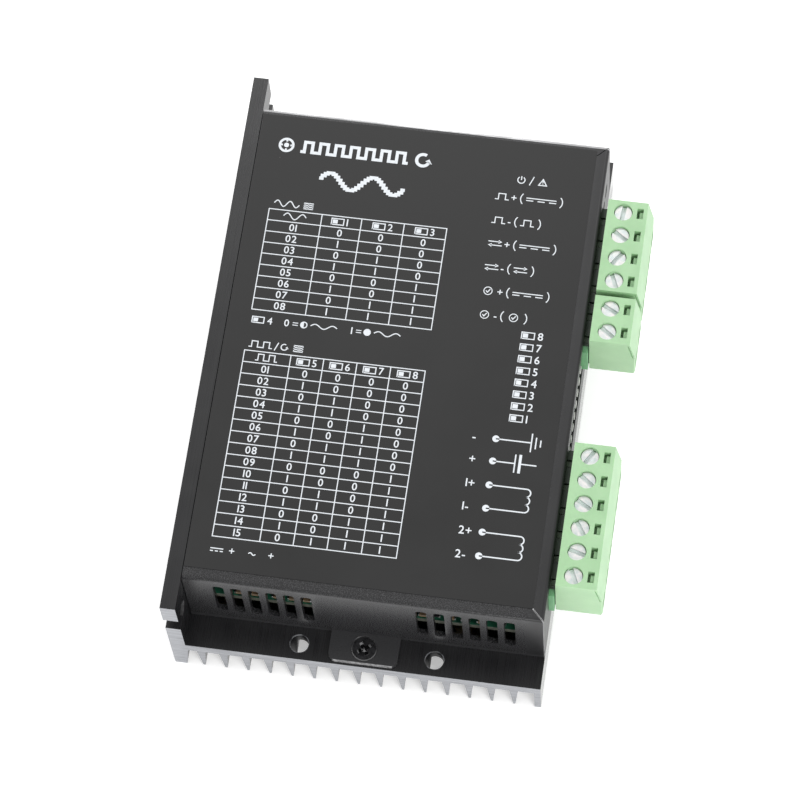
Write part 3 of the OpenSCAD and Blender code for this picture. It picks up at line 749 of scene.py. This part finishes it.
def tick(sheet, x, y, h, w):
    """A tick in a ring: enable."""
    r = h * 0.56
    cx, cy = x + 0.95 * h, y + h / 2
    sheet.ring(cx, cy, r, w * 0.85)
    corners = ((-0.28, 0.02), (-0.06, -0.22), (0.28, 0.26))
    sheet.path([(cx + dx * h, cy + dy * h) for dx, dy in corners], w)
    return x + 1.9 * h


def direct_current(sheet, x, y, h, w, length):
    """A line over dashes: direct current."""
    sheet.bar(x, y + 0.62 * h, x + length, y + 0.62 * h + w)
    dash = length / 4.2
    for i in range(3):
        a = x + i * (length - dash) / 2
        sheet.bar(a, y + 0.25 * h, a + dash, y + 0.25 * h + w)
    return x + length


def bracket(sheet, x, y, h, w, way):
    """A round bracket that opens to the right if way is 1."""
    centre = x + (0.85 * h if way > 0 else -0.55 * h)
    middle_angle = 180 if way > 0 else 0
    sheet.path(arc(centre, y + h / 2, 0.85 * h, middle_angle - 45, middle_angle + 45, 9), w)
    return x + 0.3 * h


def sine(y, h, w, turns):
    """The height of a sine wave after some turns."""
    return y + h / 2 + (h - w) / 2 * math.sin(2 * math.pi * turns)


def wave(sheet, x, y, h, w, length, turns):
    """A sine wave."""
    count = int(24 * turns)
    shares = [i / count for i in range(count + 1)]
    sheet.path([(x + length * t, sine(y, h, w, turns * t)) for t in shares], w)
    return x + length


def stepped_wave(sheet, x, y, h, w, length, turns, steps):
    """A sine wave made of small steps."""
    level = [sine(y, h, w, turns * (i + 0.5) / steps) for i in range(steps)]
    points = [(x, level[0])]
    for i in range(1, steps):
        at = x + length * i / steps
        if abs(level[i] - level[i - 1]) > w * 0.05:
            points += [(at, level[i - 1]), (at, level[i])]
    sheet.path(points + [(x + length, level[-1])], w)


def turn(sheet, x, y, h, w):
    """An open ring with an arrowhead: one turn."""
    r = h / 2 - w / 2
    cx, cy = x + h / 2, y + h / 2
    sheet.path(arc(cx, cy, r, 60, 345, 22), w)
    tip = arc(cx, cy, r, 375, 375, 2)[0]
    inner, outer = (arc(cx, cy, r + side * 0.24 * h, 338, 338, 2)[0] for side in (-1, 1))
    sheet.polygon([tip, inner, outer])
    return x + 1.15 * h


def small_table(sheet, x, y, h, w):
    """A small ruled square."""
    length = 1.35 * h
    for i in range(4):
        a = y + w / 2 + (h - w) * i / 3
        sheet.bar(x, a - w / 2, x + length, a + w / 2)
    for i in range(3):
        a = x + w / 2 + (length - w) * i / 2
        sheet.bar(a - w / 2, y + w / 2, a + w / 2, y + h - w / 2)
    return x + length


def lever(sheet, x, y, h, w):
    """A slide switch: a frame with its lever at one end."""
    length = 1.75 * h
    left, right, low, high = x + w / 2, x + length - w / 2, y + w / 2, y + h - w / 2
    sheet.path([(left, low), (right, low), (right, high), (left, high), (left, y)], w)
    sheet.bar(x + 1.6 * w, y + 1.6 * w, x + length / 2, y + h - 1.6 * w)
    return x + length


def power(sheet, x, y, h, w):
    """An open ring with a line: power."""
    cx, cy = x + h / 2, y + h / 2
    sheet.path(arc(cx, cy, h / 2 - w / 2, 125, 415, 22), w)
    sheet.bar(cx - w / 2, cy, cx + w / 2, y + h)
    return x + h


def alarm(sheet, x, y, h, w):
    """A triangle with a mark: alarm."""
    side = 1.2 * h
    a, b, c = (x + w, y + w / 2), (x + side - w, y + w / 2), (x + side / 2, y + h - w)
    half = ((a[0] + b[0]) / 2, a[1])
    sheet.path([half, b, c, a, half], w)
    sheet.bar(x + side / 2 - w / 2, y + 0.42 * h, x + side / 2 + w / 2, y + 0.70 * h)
    sheet.bar(x + side / 2 - w / 2, y + 0.22 * h, x + side / 2 + w / 2, y + 0.34 * h)
    return x + side


def motor(sheet, x, y, h, w):
    """A round motor with a rotor and four poles."""
    cx, cy = x + h / 2, y + h / 2
    sheet.ring(cx, cy, h / 2 - w / 2, w)
    sheet.disc(cx, cy, 0.16 * h, sides=20)
    for dx, dy in ((1, 0), (-1, 0), (0, 1), (0, -1)):
        ax, ay = cx + dx * 0.24 * h, cy + dy * 0.24 * h
        bx, by = cx + dx * (h / 2 - w), cy + dy * (h / 2 - w)
        sheet.path([(ax, ay), (bx, by)], w * 0.8)
    return x + h


# ---------------------------------------------------------------- print on the label


def label_sheet():
    """A sheet on the label, its origin at the label's lower left corner."""
    return Sheet((LABEL_LOW.x, LABEL_LOW.y, LABEL_HIGH.z + INK_LIFT))


def grid(sheet, x0, x1, y0, y1, columns, rows, width=0.2):
    """Ruled lines: columns are the inner uprights' places from x0."""
    for i in range(rows + 1):
        y = y0 + (y1 - y0) * i / rows
        sheet.bar(x0 - width / 2, y - width / 2, x1 + width / 2, y + width / 2)
    for c in (0, *columns, x1 - x0):
        for i in range(rows):
            low = y0 + (y1 - y0) * i / rows + width / 2
            high = y0 + (y1 - y0) * (i + 1) / rows - width / 2
            sheet.bar(x0 + c - width / 2, low, x0 + c + width / 2, high)


def table(sheet, corner, size, columns, rows, heads, symbol):
    """A settings table: a row number, then one 0 or 1 for each switch, counted in binary."""
    x0, y0 = corner
    x1, y1 = x0 + size[0], y0 + size[1]
    grid(sheet, x0, x1, y0, y1, columns, rows)
    step = size[1] / rows
    edges = [0, *columns, size[0]]
    tall, thin = 0.62 * step, 0.22
    for row in range(rows):
        base = y1 - (row + 1) * step + 0.2 * step
        for col in range(len(edges) - 1):
            mid = x0 + (edges[col] + edges[col + 1]) / 2
            if row == 0 and col == 0:
                symbol(sheet, mid - 1.5 * tall, base, tall, thin)
            elif row == 0:
                end = lever(sheet, mid - 2.1, base, tall, thin)
                numerals(sheet, str(heads[col - 1]), end + 0.5, base, tall)
            elif col == 0:
                numerals(sheet, f"{row:02d}", mid, base, tall, centred=True)
            else:
                numerals(sheet, str((row - 1) >> (col - 1) & 1), mid, base, tall, centred=True)


def print_tables():
    """The two settings tables, their headings, switch 4 and the supply line."""
    sheet = label_sheet()
    h, w = TEXT_HEIGHT, 0.22
    table(
        sheet, (4.56, 56.50), (36.84, 22.70), (11.03, 19.28, 28.07), 9, (1, 2, 3),
        lambda s, x, y, hh, ww: wave(s, x, y, hh, ww, 3 * hh, 1.5),
    )
    table(
        sheet, (4.56, 6.95), (36.94, 40.45), (9.54, 16.26, 23.04, 29.94), 16, (5, 6, 7, 8),
        lambda s, x, y, hh, ww: pulses(s, x, y, hh, ww, 2, 0.72 * hh),
    )
    # headings
    y, gap = 79.9, 0.9
    end = wave(sheet, 5.4, y, h, w, 5.2, 2)
    small_table(sheet, end + gap, y, h, w)
    y = 48.2
    end = pulses(sheet, 5.2, y, h, w, 2, 0.8 * h)
    sheet.path([(end + 0.5, y - 0.2), (end + 1.2, y + 1.6)], w)
    end = turn(sheet, end + 1.7, y, h, w)
    small_table(sheet, end + gap, y, h, w)
    # switch 4: 0 gives half, 1 gives full
    y = 53.55
    end = lever(sheet, 4.9, y, h, w)
    end = numerals(sheet, "4", end + 0.6, y, h) + 2.2
    for sign, sweep in (("0", 180), ("1", 360)):
        end = numerals(sheet, sign, end, y, h) + 0.5
        for lift in (0.4, 0.9):
            sheet.bar(end, y + lift, end + 1.1, y + lift + w * 0.8)
        end += 2.3
        sheet.ring(end, y + h / 2, h / 2 - w / 2, w)
        sheet.disc(end, y + h / 2, h / 2 - w, 90, sweep, 16)
        end = wave(sheet, end + 1.4, y + 0.2, h - 0.4, w, 5.4, 1.5) + 2.9
    # the supply: direct current from one plus voltage to another
    end = direct_current(sheet, 4.6, 3.4, h, w, 2.6)
    end = numerals(sheet, "+", end + 1.2, 3.5, h)
    end = wave(sheet, end + 2.6, 3.8, 0.7, w, 1.4, 1)
    numerals(sheet, "+", end + 2.6, 3.5, h)
    sheet.finish("printed_tables")


def print_title():
    """A motor, pulses and a turn, with a stepped wave under them."""
    sheet = label_sheet()
    y, h, w = 92.3, 3.3, 0.66
    end = motor(sheet, 4.2, y, h, w * 0.75)
    end = pulses(sheet, end + 1.4, y + 0.2, h - 0.4, w, 7, 1.60)
    turn(sheet, end + 1.4, y, h, w)
    stepped_wave(sheet, 13.7, 84.9, 4.2, 0.72, 17.9, 2, 32)
    sheet.finish("printed_title")


def print_terminal_names():
    """A symbol and a sign for each signal terminal, and a number for each switch."""
    sheet = label_sheet()
    h, w = TEXT_HEIGHT, 0.21
    end = power(sheet, 54.2, 91.15, h + 0.2, w)
    sheet.path([(end + 0.9, 91.0), (end + 1.7, 93.0)], w)
    alarm(sheet, end + 2.6, 91.15, h + 0.2, w)
    rows = {"+": (87.05, 10.65), "-": (81.65, 10.6)}
    for i, symbol in enumerate((pulses, two_ways, tick)):
        for sign, (first, step) in rows.items():
            y = first - step * i
            end = symbol(sheet, 50.2, y, h, w)
            end = numerals(sheet, sign, end + 0.5, y, h) + 0.6
            end = bracket(sheet, end, y - 0.2, h + 0.4, w, 1) + 0.6
            if sign == "+":
                end = direct_current(sheet, end, y, h, w, 6.2) + 0.7
            else:
                end = symbol(sheet, end, y, h, w) + 0.7
            bracket(sheet, end, y - 0.2, h + 0.4, w, -1)
    first, step = 56.85, 2.594
    for k in range(SWITCH_COUNT):
        y = first - step * k
        end = lever(sheet, 59.6, y, 1.6, w)
        numerals(sheet, str(SWITCH_COUNT - k), end + 0.6, y, 1.65)
    sheet.finish("printed_terminal_names")


def coil(sheet, x_dot, x_end, y_top, y_low, width):
    """Two dots joined by lines to a coil of three bumps."""
    turns = 3
    r = (y_top - y_low) / 2 / turns
    for k in range(turns):
        sheet.path(arc(x_end, y_top - (2 * k + 1) * r, r, 90, -90, 13), width)
    for y in (y_top, y_low):
        sheet.path([(x_dot, y), (x_end, y)], width)
        sheet.disc(x_dot, y, DOT_RADIUS)


def print_wiring():
    """Ground, supply and motor coil symbols beside the power terminals."""
    sheet = label_sheet()
    w, dot, tall, names_x = 0.27, 57.6, 1.7, 52.9

    def sign(row, text):
        numerals(sheet, text, names_x, row - tall / 2, tall)

    y = 34.65
    sheet.disc(dot, y, DOT_RADIUS)
    sheet.path([(dot, y), (64.6, y)], w)
    for x, half in ((64.75, 2.0), (65.65, 1.25), (66.6, 0.75)):
        sheet.bar(x - w / 2, y - half, x + w / 2, y + half)
    sign(y, "-")
    y = 29.85
    sheet.disc(dot, y, DOT_RADIUS)
    sheet.path([(dot, y), (61.9, y)], w)
    sheet.bar(61.9, y - 1.95, 61.9 + w, y + 1.95)
    sheet.bar(62.75, y - 2.0, 63.3, y + 2.0)
    sheet.path([(63.3, y), (66.4, y)], w)
    sign(y, "+")
    for top, low, name in ((24.7, 19.7, "1"), (14.6, 9.55, "2")):
        coil(sheet, dot, 65.2, top, low, w)
        sign(top, name + "+")
        sign(low, name + "-")
    sheet.finish("printed_wiring")


def print_switch_numbers():
    """Numbers one to eight under the slots of the DIP switch."""
    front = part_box("dip_switch_body")[1]
    sheet = Sheet((front.x + INK_LIFT, 0, 0), (0, 1, 0), (0, 0, 1))
    for i in range(1, SWITCH_COUNT + 1):
        low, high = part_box(f"dip_slider_{i}")
        numerals(sheet, str(i), (low.y + high.y) / 2 / MM, -2.55, 1.0, centred=True)
    sheet.finish("printed_switch_numbers")


# ---------------------------------------------------------------- small parts behind the vents


class Blocks:
    """Collects small rounded blocks, given by two corners in millimetres, into one mesh."""

    def __init__(self):
        self.mesh = bmesh.new()

    def add(self, low, high, round_off=0.08):
        size = [b - a for a, b in zip(low, high)]
        place = Matrix.Translation([(a + b) / 2 * MM for a, b in zip(low, high)])
        stretch = Matrix.Diagonal((*[s * MM for s in size], 1))
        made = bmesh.ops.create_cube(self.mesh, matrix=place @ stretch)
        edges = list({e for v in made["verts"] for e in v.link_edges})
        bmesh.ops.bevel(
            self.mesh, geom=edges, offset=round_off * MM, offset_type="OFFSET", segments=2,
            profile=0.5, affect="EDGES",
        )


def small_parts():
    """Chip parts and diodes along both ends of the board, seen through the vents."""
    rng = random.Random(4)
    solder, cap_length, inset, swell = 0.03, 0.35, 0.3, 0.02
    top = BOARD_HIGH.z / MM + solder
    kinds = {"ceramic": Blocks(), "resistor": Blocks(), "epoxy": Blocks()}
    ends = Blocks()
    for side in (-1, 1):
        for row, first, last in ((49.2, 12.5, 67.0), (45.0, 35.0, 52.0)):
            x = first
            while x < last:
                kind = rng.choice(("ceramic", "ceramic", "resistor"))
                length, width, height = (2.0, 1.25, 0.9) if kind == "ceramic" else (1.6, 0.8, 0.45)
                low, high = side * row - width / 2, side * row + width / 2
                kinds[kind].add((x + inset, low, top), (x + length - inset, high, top + height))
                for a, b in ((x, x + cap_length), (x + length - cap_length, x + length)):
                    ends.add((a, low - swell, top), (b, high + swell, top + height + swell), 0.05)
                x += length + rng.choice((0.9, 1.2, 2.4))
        for x in (15.0, 22.0):
            y = side * 44.6
            kinds["epoxy"].add((x, y - 1.3, top + 0.1), (x + 4.3, y + 1.3, top + 2.2), 0.15)
            for a, b in ((x - 0.5, x + 0.6), (x + 3.7, x + 4.8)):
                ends.add((a, y - 0.75, top), (b, y + 0.75, top + 0.3), 0.05)
    for kind, blocks in kinds.items():
        add_piece(blocks.mesh, f"small_parts_{kind}", LOOKS[kind])
    add_piece(ends.mesh, "small_part_ends", LOOKS["tin"])


# ---------------------------------------------------------------- stage, lights, camera


# name, size in metres, watts, place from the middle of the object
LIGHTS = (
    ("key", 0.5, 4.4, (0.55, -0.66, 0.60)),
    ("far", 0.28, 2.0, (-0.16, 0.78, 1.05)),
    ("rim", 0.40, 6.0, (-0.10, 1.05, 0.20)),
)
WORLD_STRENGTH = 0.82
FLOOR_GLOW = 0.44
CAMERA_AZIMUTH, CAMERA_ELEVATION, CAMERA_ROLL = 14.387, 67.469, -6.574
CAMERA_DISTANCE = 792.04 * MM
CAMERA_AIM = Vector((-2.87, -7.28, 11.10)) * MM  # from the middle of the object
CAMERA_LENS, CAMERA_SENSOR = 176.36, 36


def stage_floor():
    mesh = bpy.data.meshes.new("floor")
    half, z = 3.0, CASE_LOW.z - 0.02 * MM
    corners = [(-half, -half, z), (half, -half, z), (half, half, z), (-half, half, z)]
    mesh.from_pydata(corners, [], [(0, 1, 2, 3)])
    floor = bpy.data.objects.new("floor", mesh)
    bpy.context.scene.collection.objects.link(floor)
    look = Look("floor_paper", roughness=0.9, specular_ior_level=0.0, emission_strength=FLOOR_GLOW)
    cloud = look.noise(80 * MM, detail=2)
    pale = look.mix(cloud, (0.90, 0.90, 0.90), (0.93, 0.93, 0.93))
    look.set(base_color=pale, emission_color=pale)
    floor.data.materials.append(look.material)


def area_light(name, size, watts, place, aim):
    """A round soft light."""
    data = bpy.data.lights.new(name, "AREA")
    data.shape = "DISK"
    data.size = size
    data.energy = watts
    light = bpy.data.objects.new(name, data)
    light.location = place
    light.rotation_mode = "QUATERNION"
    light.rotation_quaternion = (aim - place).to_track_quat("-Z", "Y")
    bpy.context.scene.collection.objects.link(light)


def light_scene():
    world = bpy.data.worlds.new("studio")
    world.use_nodes = True
    back = world.node_tree.nodes["Background"]
    back.inputs["Color"].default_value = (1, 1, 1, 1)
    back.inputs["Strength"].default_value = WORLD_STRENGTH
    bpy.context.scene.world = world
    centre = middle(cad_box)
    for name, size, watts, offset in LIGHTS:
        area_light(name, size, watts, centre + Vector(offset), centre)


def place_camera():
    """The camera that was fitted to the photo."""
    azimuth, elevation = math.radians(CAMERA_AZIMUTH), math.radians(CAMERA_ELEVATION)
    back = Vector((
        math.sin(azimuth) * math.cos(elevation),
        -math.cos(azimuth) * math.cos(elevation),
        math.sin(elevation),
    ))
    data = bpy.data.cameras.new("camera")
    data.lens = CAMERA_LENS
    data.sensor_width = CAMERA_SENSOR
    data.clip_start, data.clip_end = 0.05, 20
    camera = bpy.data.objects.new("camera", data)
    camera.location = middle(cad_box) + CAMERA_AIM + back * CAMERA_DISTANCE
    camera.rotation_mode = "QUATERNION"
    spin = Quaternion((0, 0, 1), math.radians(CAMERA_ROLL))
    camera.rotation_quaternion = (-back).to_track_quat("-Z", "Y") @ spin
    bpy.context.scene.collection.objects.link(camera)
    bpy.context.scene.camera = camera


# ---------------------------------------------------------------- build

LOOKS = make_looks()
for node_name, node_object in frame["nodes"].items():
    paint(node_object, look_of(node_name))
    round_off = edge_of(node_name)
    if round_off:
        soften(node_object, round_off)
GLYPHS = {sign: glyph_mesh(sign) for sign in "0123456789+-"}
print_tables()
print_title()
print_terminal_names()
print_wiring()
print_switch_numbers()
small_parts()
stage_floor()
light_scene()
place_camera()
bpy.context.scene.view_settings.view_transform = "Standard"
